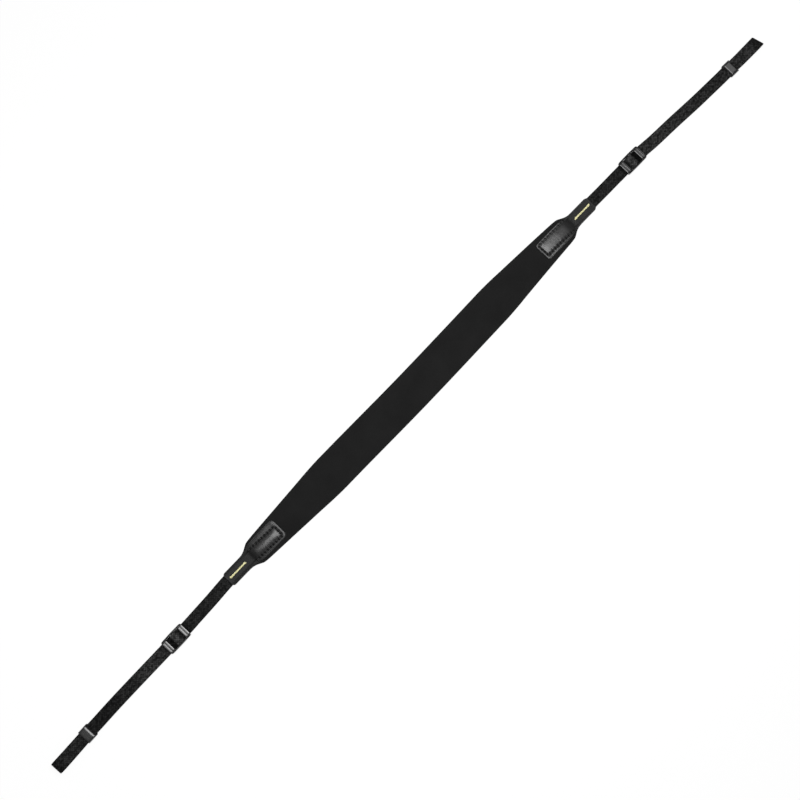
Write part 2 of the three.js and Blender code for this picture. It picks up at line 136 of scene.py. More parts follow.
# The pillow's slope lies between two distances from the seam, on the leather's top and on its inside
PILLOW = Values(flat_to=-1.6, foot=0.25, inside_flat_to=-1.05, inside_foot=0.05)
CROWN = Values(start_length=8.0, fade_from=216.0, fade_to=223.0)
BORDER_DOME = Values(side=0.08, end=0.22)
PATCH_END = Values(length=2.5, narrow=0.35)
# Painted highlight along the leather's rim: how far in from the edge, how wide, and where the lit upper side
# starts
RIM_HIGHLIGHT = Values(inset=0.95, width=0.75, side_from=3.0)
TAB_BEVEL = Values(width=1.1, drop=0.18, length=4.0)
GLOSS_EDGE = Values(rim_from=0.6, rim_to=1.2, seam_from=-0.8, seam_to=0.4, neck_from=212.0, neck_to=221.5)
CREASE = Values(bow=2.0, depth=0.5, width=3.0, half=6.6, fade=2.0, shade=0.85)
NECK_ROLL = Values(starts_at=224.0, full_at=231.0, height=0.18, inset=1.1, width=0.7)
LEATHER_UNEVEN = Values(height=0.06, length=9.0, seed=5)

# Plain satin-stitched bar on the neck: shares run from its middle to its ends
BAR_MARK = Values(
    at=241.0, length=20.5, half=0.75, end_half=1.15, widen_from=0.7, widen_to=0.95,
    round_from=0.93, round=0.75, pitch=0.36, thread=0.22, slant=0.35, rise=0.3, dive=0.45,
    rings=9, sides=6,
)

# Slider. A bar's crown is the power of its rounded section, higher for a flatter top.
SLIDER = Values(
    length=26.0, width=16.0, end_width=15.6, corner=1.9,
    rail_height=4.9, rail_arch=0.8, rail_thick=1.6, rail_corner=1.6,
    bar_length=5.5, bar_top=5.6, bar_crown=8.0, underside_crown=4.0,
    middle_at=-0.6, middle_length=3.6, middle_height=1.6, middle_crown=3.0, middle_inset=0.6,
)
BAR_LOW = WEB_THICK + LAYER_STEP + GAP
BAR_STEPS = 25
BAR_SKIN = 0.02
BAR_RIDGE = Values(at=1.6, half=1.15, sag=0.08)
BAR_RECESS = Values(half_length=5.6, half_width=0.2, depth=0.4, soft=0.3, top_from=1.0, top_to=1.8)
BAR_SIDE = Values(starts_at=4.8, drop=0.85, blend=1.0)
RAIL = Values(end_gap=0.65, least=0.05, steps=90, drop=0.5, top_from=1.5, top_to=0.5)
SLIDER_MELT = Values(voxel=0.17, smoothing=9, factor=0.5)
HUMP = Values(rise=SLIDER.middle_height + GAP, top_to=1.2, foot_at=8.0)
TAIL_PAST_SLIDER = 9.0

# Keeper. The edge is rounded over these shares of the wall, on its outside and its inside.
KEEPER = Values(
    length=10.0, width=14.9, height=6.2, corner=2.4, floor=1.2, roof=1.25, wall=0.9,
    inner_corner=0.6, top_round=2.2, edge=0.4, edge_outside=0.5, edge_inside=0.3,
)
KEEPER_STEPS = Values(flat=22, edge=9, side=12, corner=10)
LIFT = Values(rise=KEEPER.floor + GAP, level_to=KEEPER.length / 2 + 1.4, foot_at=14.0)

# End loop
LOOP_RADIUS = 3.5
LOOP_SKEW_LENGTH = 14.0
SAG_BY_NECK = 0.9

# Where each webbing crosses the slider's middle bar, folds and ends
for end in ENDS:
    end.hump = end.slider + SLIDER.middle_at
    end.fold = end.loop_end - WEB_THICK / 2 - LOOP_RADIUS
    end.tail = end.slider - SLIDER.length / 2 - TAIL_PAST_SLIDER

# Weave of the webbing: bundles side by side, each rising and dipping in turn with its neighbours
WEAVE = Values(bundles=10, pitch=2.4, height=0.065, furrow=0.06)
WEB_STEP = 0.375
# Coarser steps along the webbing where the leather hides it
SEWN_STEP = 1.5
SEWN_TO = TAB.end - 2
# Painted highlight over the slider's middle bar, and painted shade in its slot and where the webbing enters it
WEB_PAINTED_LIGHT = Values(hump_to=1.0, hump_fade=4.5, slot_from=3.2, entry=1.6, fade=0.8)

# How far each end's upper layer is painted lighter (above 0) or given painted shade (below 0) towards the loop
WEB_PAINTED_TONE = table(
    "along left right",
    (255, 0.0, 0.0),
    (312, 0.0, 0.0),
    (336, 0.23, 0.39),
    (352, 0.32, 0.38),
    (364, 0.6, 0.37),
    (374, 0.55, 0.36),
    (384, 0.12, 0.33),
    (402, 0.08, 0.23),
    (412, -0.4, 0.19),
    (432, -0.42, 0.12),
    (446, -0.1, 0.2),
    (460, 0.17, 0.34),
    (477, 0.15, 0.32),
    (485, -0.3, -0.13),
    (490, -0.95, -0.78),
)

# Grain of the materials: lengths in millimetres, and shares
KNIT = Values(wale=0.55, course=0.42, bend=2.0, loop=0.35, nap=0.9, broad=22.0, depth=0.05)
GRAIN = Values(pebble=0.85, crease=0.22, warps_per_mm=0.7, fine=0.22, broad=6.0)
YARN = Values(filament=0.14, drawn=0.35, patch=2.6, patch_share=0.85, float_share=0.15)
PLASTIC = Values(skin=0.3, rubbed=3.0, scratch=0.25, drawn=0.15)
SLIDER_PLASTIC = dict(tone=0.012, rough=0.22, grain=0.002)
KEEPER_PLASTIC = dict(tone=0.008, rough=0.4, grain=0.006)

# Camera: it looks down at the strap, which lies across the picture from the lower left to the upper right
CAMERA = Values(
    look_at=(-16.6, 2.75, 0.0), distance=1265.0, elevation=83.0, turn=46.417,
    lens=58.77, sensor=36.0,
)

# Studio, in metres and watts
GROUND = Values(reach=40.0, below=0.00005)
SOFTBOXES = [
    dict(name="overhead", place=(0.06, 0.04, 0.85), aim=(0.06, 0, 0), size=(0.77, 0.3), power=6.5),
    dict(name="left_fill", place=(-0.47, 0.07, 0.85), aim=(-0.33, 0, 0), size=(0.16, 0.3), power=0.38),
    dict(name="right_fill", place=(0.66, 0.08, 0.9), aim=(0.32, 0, 0), size=(0.16, 0.3), power=0.04),
    dict(name="far_end", place=(0.89, 0.08, 0.95), aim=(0.45, 0, 0), size=(0.2, 0.3), power=0.46),
]


# Curves and places

def smooth(at, low, high):
    """0 before the first place, 1 after the second, with a smooth rise between them."""
    share = np.clip((np.asarray(at, float) - low) / (high - low), 0, 1)
    return share * share * (3 - 2 * share)


def mix(first, second, share):
    return first + (second - first) * share


def curve(rows, column, along):
    """Smooth curve through a table's column, level at its ends, peaks and dips."""
    places, values = rows["along"], rows[column]
    rises = np.diff(values) / np.diff(places)
    before, after = rises[:-1], rises[1:]
    same_way = before * after > 0
    slopes = np.zeros(len(places))
    slopes[1:-1] = np.where(same_way, 2 * before * after / np.where(same_way, before + after, 1), 0)
    along = np.clip(np.asarray(along, float), places[0], places[-1])
    i = np.clip(np.searchsorted(places, along, side="right") - 1, 0, len(places) - 2)
    span = places[i + 1] - places[i]
    t = (along - places[i]) / span
    start_bend = slopes[i] * span * t * (1 - t) ** 2
    end_bend = slopes[i + 1] * span * t ** 2 * (1 - t)
    return mix(values[i], values[i + 1], smooth(t, 0, 1)) + start_bend - end_bend


def heading_at(x):
    """Direction of the strap's middle line in plan."""
    reach = 0.5
    drift = curve(LAY, "across", x + reach) - curve(LAY, "across", x - reach)
    return np.arctan(drift / (2 * reach))


def on_strap(x, across, height):
    """Points of the strap as it lies, from their places along, across and above."""
    x, across, height = np.broadcast_arrays(x, across, height)
    heading = heading_at(x)
    y = curve(LAY, "across", x)
    return np.stack([x - across * np.sin(heading), y + across * np.cos(heading), height], axis=-1)


def uneven(x, y, length, seed):
    """Soft random waves of about that length, between -1 and 1."""
    waves, shortest, longest = 7, 0.7, 1.6
    random = np.random.RandomState(seed)
    total = 0
    for _ in range(waves):
        turn, phase = random.uniform(0, 2 * pi, 2)
        size = length * random.uniform(shortest, longest)
        total = total + np.sin((x * cos(turn) + y * sin(turn)) * 2 * pi / size + phase)
    return total / waves


def rim_drop(across, half, width):
    """Drop of a rounded rim, from 0 at its inner side to 1 at its edge."""
    into = np.clip((np.abs(across) - (half - width)) / width, 0, 1)
    return 1 - np.sqrt(1 - into * into)


def corner_inset(from_end, radius):
    """How far a round corner or edge falls short, by the distance from its end."""
    short = np.clip(radius - from_end, 0, radius)
    return radius - np.sqrt(radius * radius - short * short)


def pad_section(along):
    """Half the pad's width, and its thickness."""
    return [curve(PAD_SECTIONS, column, np.abs(along)) for column in ("half", "thick")]


def pad_top(along, across):
    half, thick = pad_section(along)
    return thick * (1 - (1 - PAD_RIM.top) * rim_drop(across, half, PAD_RIM.width * thick))


def pad_underside(along, across):
    half, thick = pad_section(along)
    return thick * PAD_RIM.underside * rim_drop(across, half, PAD_RIM.underside_width * thick)


def sewn_shift(end, along):
    return end.sewn_shift * (1 - smooth(along, end.sewn_start, SEWN_STRAIGHT_FROM))


# Meshes

def add_object(name, data):
    thing = bpy.data.objects.new(name, data)
    bpy.context.scene.collection.objects.link(thing)
    return thing


def outward(mesh):
    """Turns all faces of a closed mesh outward."""
    work = bmesh.new()
    work.from_mesh(mesh)
    bmesh.ops.recalc_face_normals(work, faces=work.faces)
    work.to_mesh(mesh)
    work.free()


def new_mesh(name, points, faces):
    mesh = bpy.data.meshes.new(name)
    mesh.from_pydata(np.asarray(points).tolist(), [], faces)
    return mesh


def make_piece(name, shape, material, node=None, attributes=None):
    """New object from points in millimetres and faces, which may stand for a solid of the frame."""
    points, faces = shape
    mesh = new_mesh(name, np.asarray(points).reshape(-1, 3) * MM, faces)
    for label, values in (attributes or {}).items():
        layer = mesh.attributes.new(label, "FLOAT", "POINT")
        layer.data.foreach_set("value", np.asarray(values, np.float32).ravel())
    outward(mesh)
    mesh.shade_smooth()
    mesh.materials.append(material)
    piece = add_object(name, mesh)
    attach(piece, "root")
    if node:
        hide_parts(node)
    return piece


def grid_faces(rows, columns, wrap_rows=False, wrap_columns=False):
    """Quads of a grid of points, row by row."""
    i = np.arange(rows if wrap_rows else rows - 1)
    j = np.arange(columns if wrap_columns else columns - 1)
    i, j = np.meshgrid(i, j, indexing="ij")
    i_next, j_next = (i + 1) % rows, (j + 1) % columns
    quads = [i * columns + j, i_next * columns + j, i_next * columns + j_next, i * columns + j_next]
    return np.stack(quads, axis=-1).reshape(-1, 4).tolist()


def ringed(top, underside):
    """Rows of points or numbers that run over the top and back along the underside."""
    return np.concatenate([top, underside[:, ::-1]], axis=1)


def loft(top, underside):
    """Points and faces of a closed solid. Top and underside have one row of points for each section."""
    sections, columns = top.shape[:2]
    ring = 2 * columns
    faces = grid_faces(sections, ring, wrap_columns=True)
    for first in (0, (sections - 1) * ring):
        for k in range(columns - 1):
            below = ring - 1 - k
            faces.append([first + k, first + k + 1, first + below - 1, first + below])
    return ringed(top, underside), faces


def tube(path, radii, sides):
    """Points and faces of a round rod along a path that lies roughly level, with closed ends."""
    ahead = np.gradient(path, axis=0)
    ahead /= np.linalg.norm(ahead, axis=1, keepdims=True)
    side = np.cross(ahead, (0, 0, 1))
    side /= np.linalg.norm(side, axis=1, keepdims=True)
    up = np.cross(side, ahead)
    turns = np.linspace(0, 2 * pi, sides, endpoint=False)
    ring = side[:, None] * np.cos(turns)[None, :, None] + up[:, None] * np.sin(turns)[None, :, None]
    points = path[:, None] + ring * np.asarray(radii)[:, None, None]
    faces = grid_faces(len(path), sides, wrap_columns=True)
    faces.append(list(range(sides)))
    faces.append(list(range((len(path) - 1) * sides, len(path) * sides)))
    return points.reshape(-1, 3), faces


def join(parts):
    """One list of points and faces from several."""
    points, faces = [], []
    count = 0
    for part_points, part_faces in parts:
        part_points = np.asarray(part_points).reshape(-1, 3)
        faces += [[count + k for k in face] for face in part_faces]
        points.append(part_points)
        count += len(part_points)
    return np.concatenate(points), faces


# Neck pad

def neck_pad(material):
    reach = PAD_SECTIONS["along"][-1]
    stations = np.linspace(-reach, reach, 1 + 2 * round(reach / PAD_STEP))[:, None]
    # More columns towards the rim
    turn = np.linspace(-pi / 2, pi / 2, PAD_COLUMNS)[None, :]
    across = np.sin(turn) * curve(PAD_SECTIONS, "half", np.abs(stations))
    soft = PAD_UNEVEN.height * uneven(stations, across, PAD_UNEVEN.length, PAD_UNEVEN.seed)
    under_leather = smooth(np.abs(stations), PAD_UNEVEN.full_to, PAD_UNEVEN.gone_at)
    soft = soft * smooth(np.cos(turn), 0, PAD_UNEVEN.rim_share) * (1 - under_leather)
    top = on_strap(stations, across, pad_top(stations, across) + soft)
    underside = on_strap(stations, across, pad_underside(stations, across))
    pad = make_piece("neck_pad_cover", loft(top, underside), material, "neck_pad")


# Leather tabs

def tab_half(end, margin, along):
    full = mix(TAB.neck_half, margin, curve(TAB_TAPER, "share", along))
    patch_inset = corner_inset(along - end.patch_start, end.patch_corner)
    return full - patch_inset - corner_inset(TAB.end - along, TAB.neck_corner)


def edge_distance(end, along, across):
    """Distance from points of a tab to its outline."""
    steps = np.linspace(end.patch_start, TAB.end, OUTLINE_STEPS.sides)
    # Finer steps round the corners at both ends
    corner = max(end.patch_corner, TAB.neck_corner)
    corners = np.linspace(0, 1, OUTLINE_STEPS.corners) ** 2 * corner
    steps = np.unique(np.concatenate([steps, end.patch_start + corners, TAB.end - corners]))
    upper = np.stack([steps, tab_half(end, end.patch_upper, steps)], axis=1)
    lower = np.stack([steps, -tab_half(end, end.patch_lower, steps)], axis=1)
    outline = np.concatenate([upper, lower[::-1], upper[:1]])
    nearest = np.full(along.shape, np.inf)
    shortest = 1e-12
    for start, finish in zip(outline[:-1], outline[1:]):
        reach = finish - start
        length_squared = max(float(reach @ reach), shortest)
        share = ((along - start[0]) * reach[0] + (across - start[1]) * reach[1]) / length_squared
        share = np.clip(share, 0, 1)
        away = np.hypot(along - start[0] - share * reach[0], across - start[1] - share * reach[1])
        nearest = np.minimum(nearest, away)
    return nearest


def seam_distance(end, along, across):
    """Distance outward from the line of stitches, negative on the pillow inside it."""
    aside = np.abs(across - sewn_shift(end, along)) - (end.seam_half - SEAM.corner)
    ahead = end.seam_start + SEAM.corner - along
    outside = np.hypot(np.maximum(aside, 0), np.maximum(ahead, 0))
    return outside + np.minimum(np.maximum(aside, ahead), 0) - SEAM.corner


def seam_path(end):
    """Points along the seam, from the upper row's outer end round the patch to the lower row's."""
    corner, half = SEAM.corner, end.seam_half
    straight = end.seam_start + corner
    rows = np.linspace(SEAM.end, straight, SEAM_STEPS.row)
    turns = np.linspace(0, pi / 2, SEAM_STEPS.bend)[1:]
    row = np.stack([rows, np.full(len(rows), half)], axis=1)
    bend = np.stack([straight - corner * np.sin(turns), half - corner * (1 - np.cos(turns))], axis=1)
    upper = np.concatenate([row, bend])
    path = np.concatenate([upper, upper[::-1] * (1, -1)])
    path[:, 1] += sewn_shift(end, path[:, 0])
    return path


def along_seam(end, places):
    """Points at distances along the seam, and the seam's length."""
    path = seam_path(end)
    run = np.concatenate([[0], np.cumsum(np.linalg.norm(np.diff(path, axis=0), axis=1))])
    return np.stack([np.interp(places, run, path[:, k]) for k in range(2)], axis=1), run[-1]


def stitch_places(end):
    """Middles of the stitches and the holes between them, as distances along the seam."""
    _, length = along_seam(end, [0])
    count = round(length / STITCH.pitch)
    holes = np.linspace(0, length, count + 1)
    return (holes[:-1] + holes[1:]) / 2, holes


def leather_seat(along, across, raised):
    """Height of what the leather lies on: the pad, or the webbing that is sewn in between."""
    on_pad = pad_top(along, across) + GAP
    on_webbing = pad_top(along, 0) + GAP + WEB_THICK + GAP
    return mix(on_pad, on_webbing, raised)


def at_patch_end(end, along):
    """1 on the patch's border towards the middle of the pad."""
    return 1 - smooth(along, end.seam_start, end.seam_start + PATCH_END.length)


def puckers(end, along, across, from_seam):
    """How far the thread pulls the leather in round each hole, from 0 to 1, wider on the pillow's side."""
    _, holes = stitch_places(end)
    reach = np.where(from_seam < 0, PUCKER.inward, PUCKER.outward)
    reach = reach * (1 - PATCH_END.narrow * at_patch_end(end, along))
    pulled = np.zeros(np.shape(along))
    for hole_along, hole_across in along_seam(end, holes)[0]:
        away_squared = (along - hole_along) ** 2 + (across - hole_across) ** 2
        beside_squared = np.maximum(away_squared - from_seam ** 2, 0)
        by_hole = np.exp(-beside_squared / PUCKER.along ** 2 - (from_seam / reach) ** 2)
        pulled = np.maximum(pulled, by_hole)
    return pulled


def crease(end, along, across):
    """The bowed crease at the base of the neck, from 0 beside it to 1 at its bottom."""
    bowed = end.crease - CREASE.bow * (across / TAB.neck_half) ** 2
    beside = 1 - smooth(np.abs(across), CREASE.half - CREASE.fade, CREASE.half)
    return np.exp(-((along - bowed) / CREASE.width) ** 2) * beside


def pillow_crown(end, along, across):
    """How far the pillow swells between the rows of stitches."""
    from_middle = np.clip(np.abs(across - sewn_shift(end, along)) / end.seam_half, 0, 1)
    from_start = np.clip((along - end.seam_start) / CROWN.start_length, 0, 1)
    crowned = 1 - smooth(along, CROWN.fade_from, CROWN.fade_to)
    return end.crown * (1 - from_middle ** 2) * (1 - (1 - from_start) ** 2) * crowned


def border_dome(end, along, from_seam, from_edge):
    """How far the border stands up between the seam and the rim."""
    thinnest = 0.01
    on_border = np.clip(from_seam / np.maximum(from_seam + from_edge, thinnest), 0, 1)
    return mix(BORDER_DOME.side, BORDER_DOME.end, at_patch_end(end, along)) * np.sin(pi * on_border)


def leather_top(end, along, across):
    """A pillow over the webbing, pulled down at the stitches, with a domed border and a rolled neck."""
    from_seam = seam_distance(end, along, across)
    from_edge = edge_distance(end, along, across)
    raised = 1 - smooth(from_seam, PILLOW.flat_to, PILLOW.foot)
    height = leather_seat(along, across, raised) + TAB.thick
    height += pillow_crown(end, along, across)
    sewn = 1 - smooth(along, SEAM.end - SEAM.fade_before, SEAM.end + SEAM.fade_after)
    height -= SEAM.depth * np.exp(-(from_seam / SEAM.width) ** 2) * sewn
    height -= PUCKER.depth * puckers(end, along, across, from_seam)
    height += border_dome(end, along, from_seam, from_edge) * sewn
    at_start = 1 - smooth(along, end.patch_start, end.patch_start + TAB_BEVEL.length)
    height -= TAB_BEVEL.drop * np.clip(1 - from_edge / TAB_BEVEL.width, 0, 1) ** 2 * at_start
    height -= CREASE.depth * crease(end, along, across)
    on_neck = smooth(along, NECK_ROLL.starts_at, NECK_ROLL.full_at)
    roll = np.exp(-((from_edge - NECK_ROLL.inset) / NECK_ROLL.width) ** 2)
    height += NECK_ROLL.height * roll * on_neck
    seed = LEATHER_UNEVEN.seed + end.sign
    height += LEATHER_UNEVEN.height * uneven(along, across, LEATHER_UNEVEN.length, seed)
    return height - corner_inset(from_edge, TAB_ROUND.top)


def leather_looks(end, along, across, from_edge):
    """The leather's gloss, and its painted shade: up to 1 in the puckers and folds, down to -1 for a painted
    highlight on the rim.
    """
    from_seam = seam_distance(end, along, across)
    shade = np.maximum(puckers(end, along, across, from_seam), CREASE.shade * crease(end, along, across))
    on_patch = 1 - smooth(along, GLOSS_EDGE.neck_from, GLOSS_EDGE.neck_to)
    at_end = at_patch_end(end, along)
    outside = smooth(from_seam, GLOSS_EDGE.seam_from, GLOSS_EDGE.seam_to)
    border = mix(end.border_gloss, end.end_gloss, at_end)
    rim = end.rim_gloss * (1 - smooth(from_edge, GLOSS_EDGE.rim_from, GLOSS_EDGE.rim_to))
    gloss = np.maximum(border, rim) * outside + end.pillow_gloss * (1 - outside)
    rim_line = np.exp(-((from_edge - RIM_HIGHLIGHT.inset) / RIM_HIGHLIGHT.width) ** 2)
    lit_side = np.maximum(smooth(across, 0, RIM_HIGHLIGHT.side_from), at_end)
    # Painted highlight on the rim of the upper side and of the patch's end
    rubbed = end.rim_wear * rim_line * lit_side * on_patch
    return gloss * (1 - shade) * on_patch, shade - rubbed


def leather_tab(end, material):
    count = 1 + round((TAB.end - end.patch_start) / TAB_STEP)
    along = np.linspace(end.patch_start, TAB.end, count)[:, None]
    across_share = np.linspace(-1, 1, TAB_COLUMNS)[None, :]
    upper = tab_half(end, end.patch_upper, along)
    lower = tab_half(end, end.patch_lower, along)
    across = across_share * np.where(across_share > 0, upper, lower)
    along = np.broadcast_to(along, across.shape)
    from_edge = edge_distance(end, along, across)
    short = np.clip(TAB_ROUND.underside - from_edge, 0, TAB_ROUND.underside)
    from_seam = seam_distance(end, along, across)
    raised = 1 - smooth(from_seam, PILLOW.inside_flat_to, PILLOW.inside_foot)
    x = end.sign * along
    top = on_strap(x, across, leather_top(end, along, across))
    underside = on_strap(x, across, leather_seat(along, across, raised) + short)
    finish, shade = leather_looks(end, along, across, from_edge)
    looks = {"finish": ringed(finish, finish), "shade": ringed(shade, shade)}
    node = f"leather_tab_{end.name}"
    make_piece(f"leather_{end.name}", loft(top, underside), material, node, looks)


def seam_stitches(end, material):
    """Thread in the seam's groove, one short arched stitch between each two holes."""
    rings = np.linspace(-1, 1, STITCH.rings)
    middles, _ = stitch_places(end)
    parts = []
    for middle in middles:
        spots, _ = along_seam(end, middle + rings * STITCH.length / 2)
        height = leather_top(end, spots[:, 0], spots[:, 1])
        # Level between the holes, with ends that dip into them
        height = height.max() + STITCH.arch - STITCH.dive * np.abs(rings) ** 3
        path = on_strap(end.sign * spots[:, 0], spots[:, 1], height)
        radii = STITCH.radius * np.sqrt(1 - STITCH.taper * rings ** 4)
        parts.append(tube(path, radii, STITCH.sides))
    make_piece(f"seam_thread_{end.name}", join(parts), material)


def satin_bar(end, material):
    """Plain bar of close threads laid across it, a little wider at its ends."""
    count = round(BAR_MARK.length / BAR_MARK.pitch)
    rings = np.linspace(-1, 1, BAR_MARK.rings)
    radii = np.full(len(rings), BAR_MARK.thread)
    parts = []
    for share in np.linspace(-1, 1, count):
        widened = smooth(abs(share), BAR_MARK.widen_from, BAR_MARK.widen_to)
        half = mix(BAR_MARK.half, BAR_MARK.end_half, widened)
        half *= sqrt(1 - BAR_MARK.round * float(smooth(abs(share), BAR_MARK.round_from, 1.0)))
        across = rings * half
        along = BAR_MARK.at + share * BAR_MARK.length / 2 + BAR_MARK.slant * rings
        height = leather_top(end, along, across) + BAR_MARK.rise - BAR_MARK.dive * np.abs(rings) ** 4
        path = on_strap(end.sign * along, across, height)
        parts.append(tube(path, radii, BAR_MARK.sides))
    make_piece(f"satin_bar_{end.name}", join(parts), material)


# Webbing

def lower_height(end, along):
    """Middle height of the lower layer, which lies on the surface and rises in slider and keeper."""
    hump = 1 - smooth(np.abs(along - end.hump), HUMP.top_to, HUMP.foot_at)
    lift = 1 - smooth(np.abs(along - end.keeper), LIFT.level_to, LIFT.foot_at)
    return WEB_THICK / 2 + HUMP.rise * hump + LIFT.rise * lift


def upper_height(end, along):
    """Middle height of the upper layer: on the pad, slack to the tail, on the lower layer, into the loop."""
    on_pad = pad_top(np.minimum(along, TAB.end), 0) + GAP + WEB_THICK / 2
    on_lower = lower_height(end, along) + LAYER_STEP
    share = np.clip((along - TAB.end) / (end.tail - TAB.end), 0, 1)
    slack = mix(on_pad, on_lower, smooth(share, 0, 1))
    slack -= SAG_BY_NECK * np.sin(pi * share) ** 2
    loop_from = end.keeper + LIFT.level_to
    in_loop = lower_height(end, loop_from) + LAYER_STEP
    loop_top = WEB_THICK / 2 + 2 * LOOP_RADIUS
    rising = mix(in_loop, loop_top, smooth(along, loop_from, end.fold))
    return np.where(along < end.tail, slack, np.where(along < loop_from, on_lower, rising))


def webbing_path(end):
    """The webbing's way along and up, from its sewn-in end out to the fold and back to its tail."""
    def places(start, finish, step):
        return np.linspace(start, finish, 1 + max(1, round(abs(finish - start) / step)))[:-1]

    sewn = places(end.sewn_start, SEWN_TO, SEWN_STEP)
    out = np.concatenate([sewn, places(SEWN_TO, end.fold, WEB_STEP)])
    turn = places(pi / 2, -pi / 2, WEB_STEP / LOOP_RADIUS)
    back = np.append(places(end.fold, end.tail, WEB_STEP), end.tail)
    along = np.concatenate([out, end.fold + LOOP_RADIUS * np.cos(turn), back])
    fold_height = WEB_THICK / 2 + LOOP_RADIUS * (1 + np.sin(turn))
    height = np.concatenate([upper_height(end, out), fold_height, lower_height(end, back)])
    return along, height


def painted_web_light(end, along, height):
    """Painted light on the upper layer: 1 for a painted highlight over the slider's middle bar, -1 for painted
    shade where the bars tuck it in.
    """
    reach = SLIDER.length / 2
    on_hump = 1 - smooth(np.abs(along - end.hump), WEB_PAINTED_LIGHT.hump_to, WEB_PAINTED_LIGHT.hump_fade)
    slot_from = end.hump + WEB_PAINTED_LIGHT.slot_from
    slot_to = end.slider + reach - SLIDER.bar_length
    past_slot = smooth(along, slot_to, slot_to + WEB_PAINTED_LIGHT.fade)
    in_slot = smooth(along, slot_from, slot_from + WEB_PAINTED_LIGHT.fade) * (1 - past_slot)
    from_entry = np.abs(along - (end.slider - reach))
    at_entry = 1 - smooth(from_entry, WEB_PAINTED_LIGHT.entry, WEB_PAINTED_LIGHT.entry + WEB_PAINTED_LIGHT.fade)
    painted_tone = curve(WEB_PAINTED_TONE, end.name, along)
    upper = height > WEB_THICK
    return upper * np.clip(painted_tone + on_hump - np.maximum(in_slot, at_entry), -1, 1)


def webbing(end, material):
    along, height = webbing_path(end)
    run = np.concatenate([[0], np.cumsum(np.hypot(np.diff(along), np.diff(height)))])
    pitch = np.unwrap(np.arctan2(np.gradient(height), np.gradient(along)))[:, None]
    half = WEB_WIDTH / 2
    count = 2 * WEAVE.bundles + 1
    across = np.linspace(-half, half, count)[None, :]
    bundle = np.arange(count) // 2
    on_bundle = np.arange(count) % 2
    wave = np.cos(2 * pi * run[:, None] / WEAVE.pitch + pi * bundle[None, :])
    weave = np.where(on_bundle, WEAVE.height * wave, -WEAVE.furrow)
    edge = WEB_EDGE.drop * smooth(np.abs(across), half - WEB_EDGE.width, half)
    skew = end.fold_skew * smooth(along, end.loop_end - LOOP_SKEW_LENGTH, end.loop_end)[:, None]
    shift = sewn_shift(end, along)[:, None]

    def layer(out):
        place = along[:, None] - out * np.sin(pitch) + skew * across
        return on_strap(end.sign * place, across + shift, height[:, None] + out * np.cos(pitch))

    top = layer(WEB_THICK / 2 - edge + weave)
    underside = layer(-WEB_THICK / 2 + edge + weave)
    ring = np.ones((1, 2 * count))
    looks = {
        "run": run[:, None] * ring,
        "across": np.ones((len(run), 1)) * ringed(across, across),
        "painted_light": painted_web_light(end, along, height)[:, None] * ring,
    }
    node = f"webbing_{end.name}"
    make_piece(f"woven_strap_{end.name}", loft(top, underside), material, node, looks)


# Moulded pieces

def seated(shape, end, along):
    """A moulded piece turned to the strap's direction where it sits, its own +X outward."""
    points, faces = shape
    x = end.sign * along
    turn = float(heading_at(x)) + (pi if end.sign < 0 else 0)
    c, s = cos(turn), sin(turn)
    axes = np.array([(c, s, 0), (-s, c, 0), (0, 0, 1)])
    return points @ axes + on_strap(x, 0.0, 0.0), faces


def plan_half(x):
    """Half the slider's width: bowed sides and round corners."""
    corner, end_half = SLIDER.corner, SLIDER.end_width / 2
    straight = SLIDER.length / 2 - corner
    bow = (SLIDER.width - SLIDER.end_width) / 2
    bowed = end_half + bow * (1 - np.clip(np.abs(x) / straight, 0, 1) ** 2)
    return bowed - corner_inset(SLIDER.length / 2 - np.abs(x), corner)


def slab(x, y_low, y_high, z_low, z_high):
    """Closed solid of upright sections along x, each a rectangle."""
    x, y_low, y_high, z_low, z_high = np.broadcast_arrays(x, y_low, y_high, z_low, z_high)

    def layer(z):
        return np.stack([np.stack([x, y, z], axis=1) for y in (y_low, y_high)], axis=1)

    return loft(layer(z_high), layer(z_low))


def slider_rail(side):
    reach, corner = SLIDER.length / 2, SLIDER.rail_corner
    x = np.linspace(-reach + RAIL.end_gap, reach - RAIL.end_gap, RAIL.steps)
    inset = corner_inset(reach - np.abs(x), corner)
    arch = SLIDER.rail_arch * (1 - np.clip(np.abs(x) / (reach - corner), 0, 1) ** 2)
    inner = SLIDER.width / 2 - SLIDER.rail_thick
    outer = np.maximum(plan_half(x), inner + RAIL.least)
    return slab(x, side * inner, side * outer, inset, SLIDER.rail_height + arch - inset)


def slider_bar(centre, length, low, high, crown, y_half):
    """Bar across the slider with a rounded section, whose underside has a crown of its own."""
    x = centre + np.sin(np.linspace(-pi / 2, pi / 2, BAR_STEPS)) * length / 2
    u = np.abs(x - centre) / (length / 2)
    middle = (low + high) / 2

    def rounded(power):
        return np.maximum(1 - u ** power, 0) ** (1 / power)

    z_high = middle + (high - middle) * rounded(crown) + BAR_SKIN
    z_low = middle - (middle - low) * rounded(SLIDER.underside_crown) - BAR_SKIN
    half = np.minimum(plan_half(x), y_half)
    return slab(x, -half, half, z_low, z_high)


def slider_parts():
    """The two rails, the two end bars over the webbing and the low middle bar under it."""
    reach, bar = SLIDER.length / 2, SLIDER.bar_length
    parts = [slider_rail(side) for side in (-1, 1)]
    for side in (-1, 1):
        at = side * (reach - bar / 2)
        parts.append(slider_bar(at, bar, BAR_LOW, SLIDER.bar_top, SLIDER.bar_crown, reach))
    at, length, top = SLIDER.middle_at, SLIDER.middle_length, SLIDER.middle_height
    middle_half = SLIDER.width / 2 - SLIDER.middle_inset
    parts.append(slider_bar(at, length, 0.0, top, SLIDER.middle_crown, middle_half))
    return parts


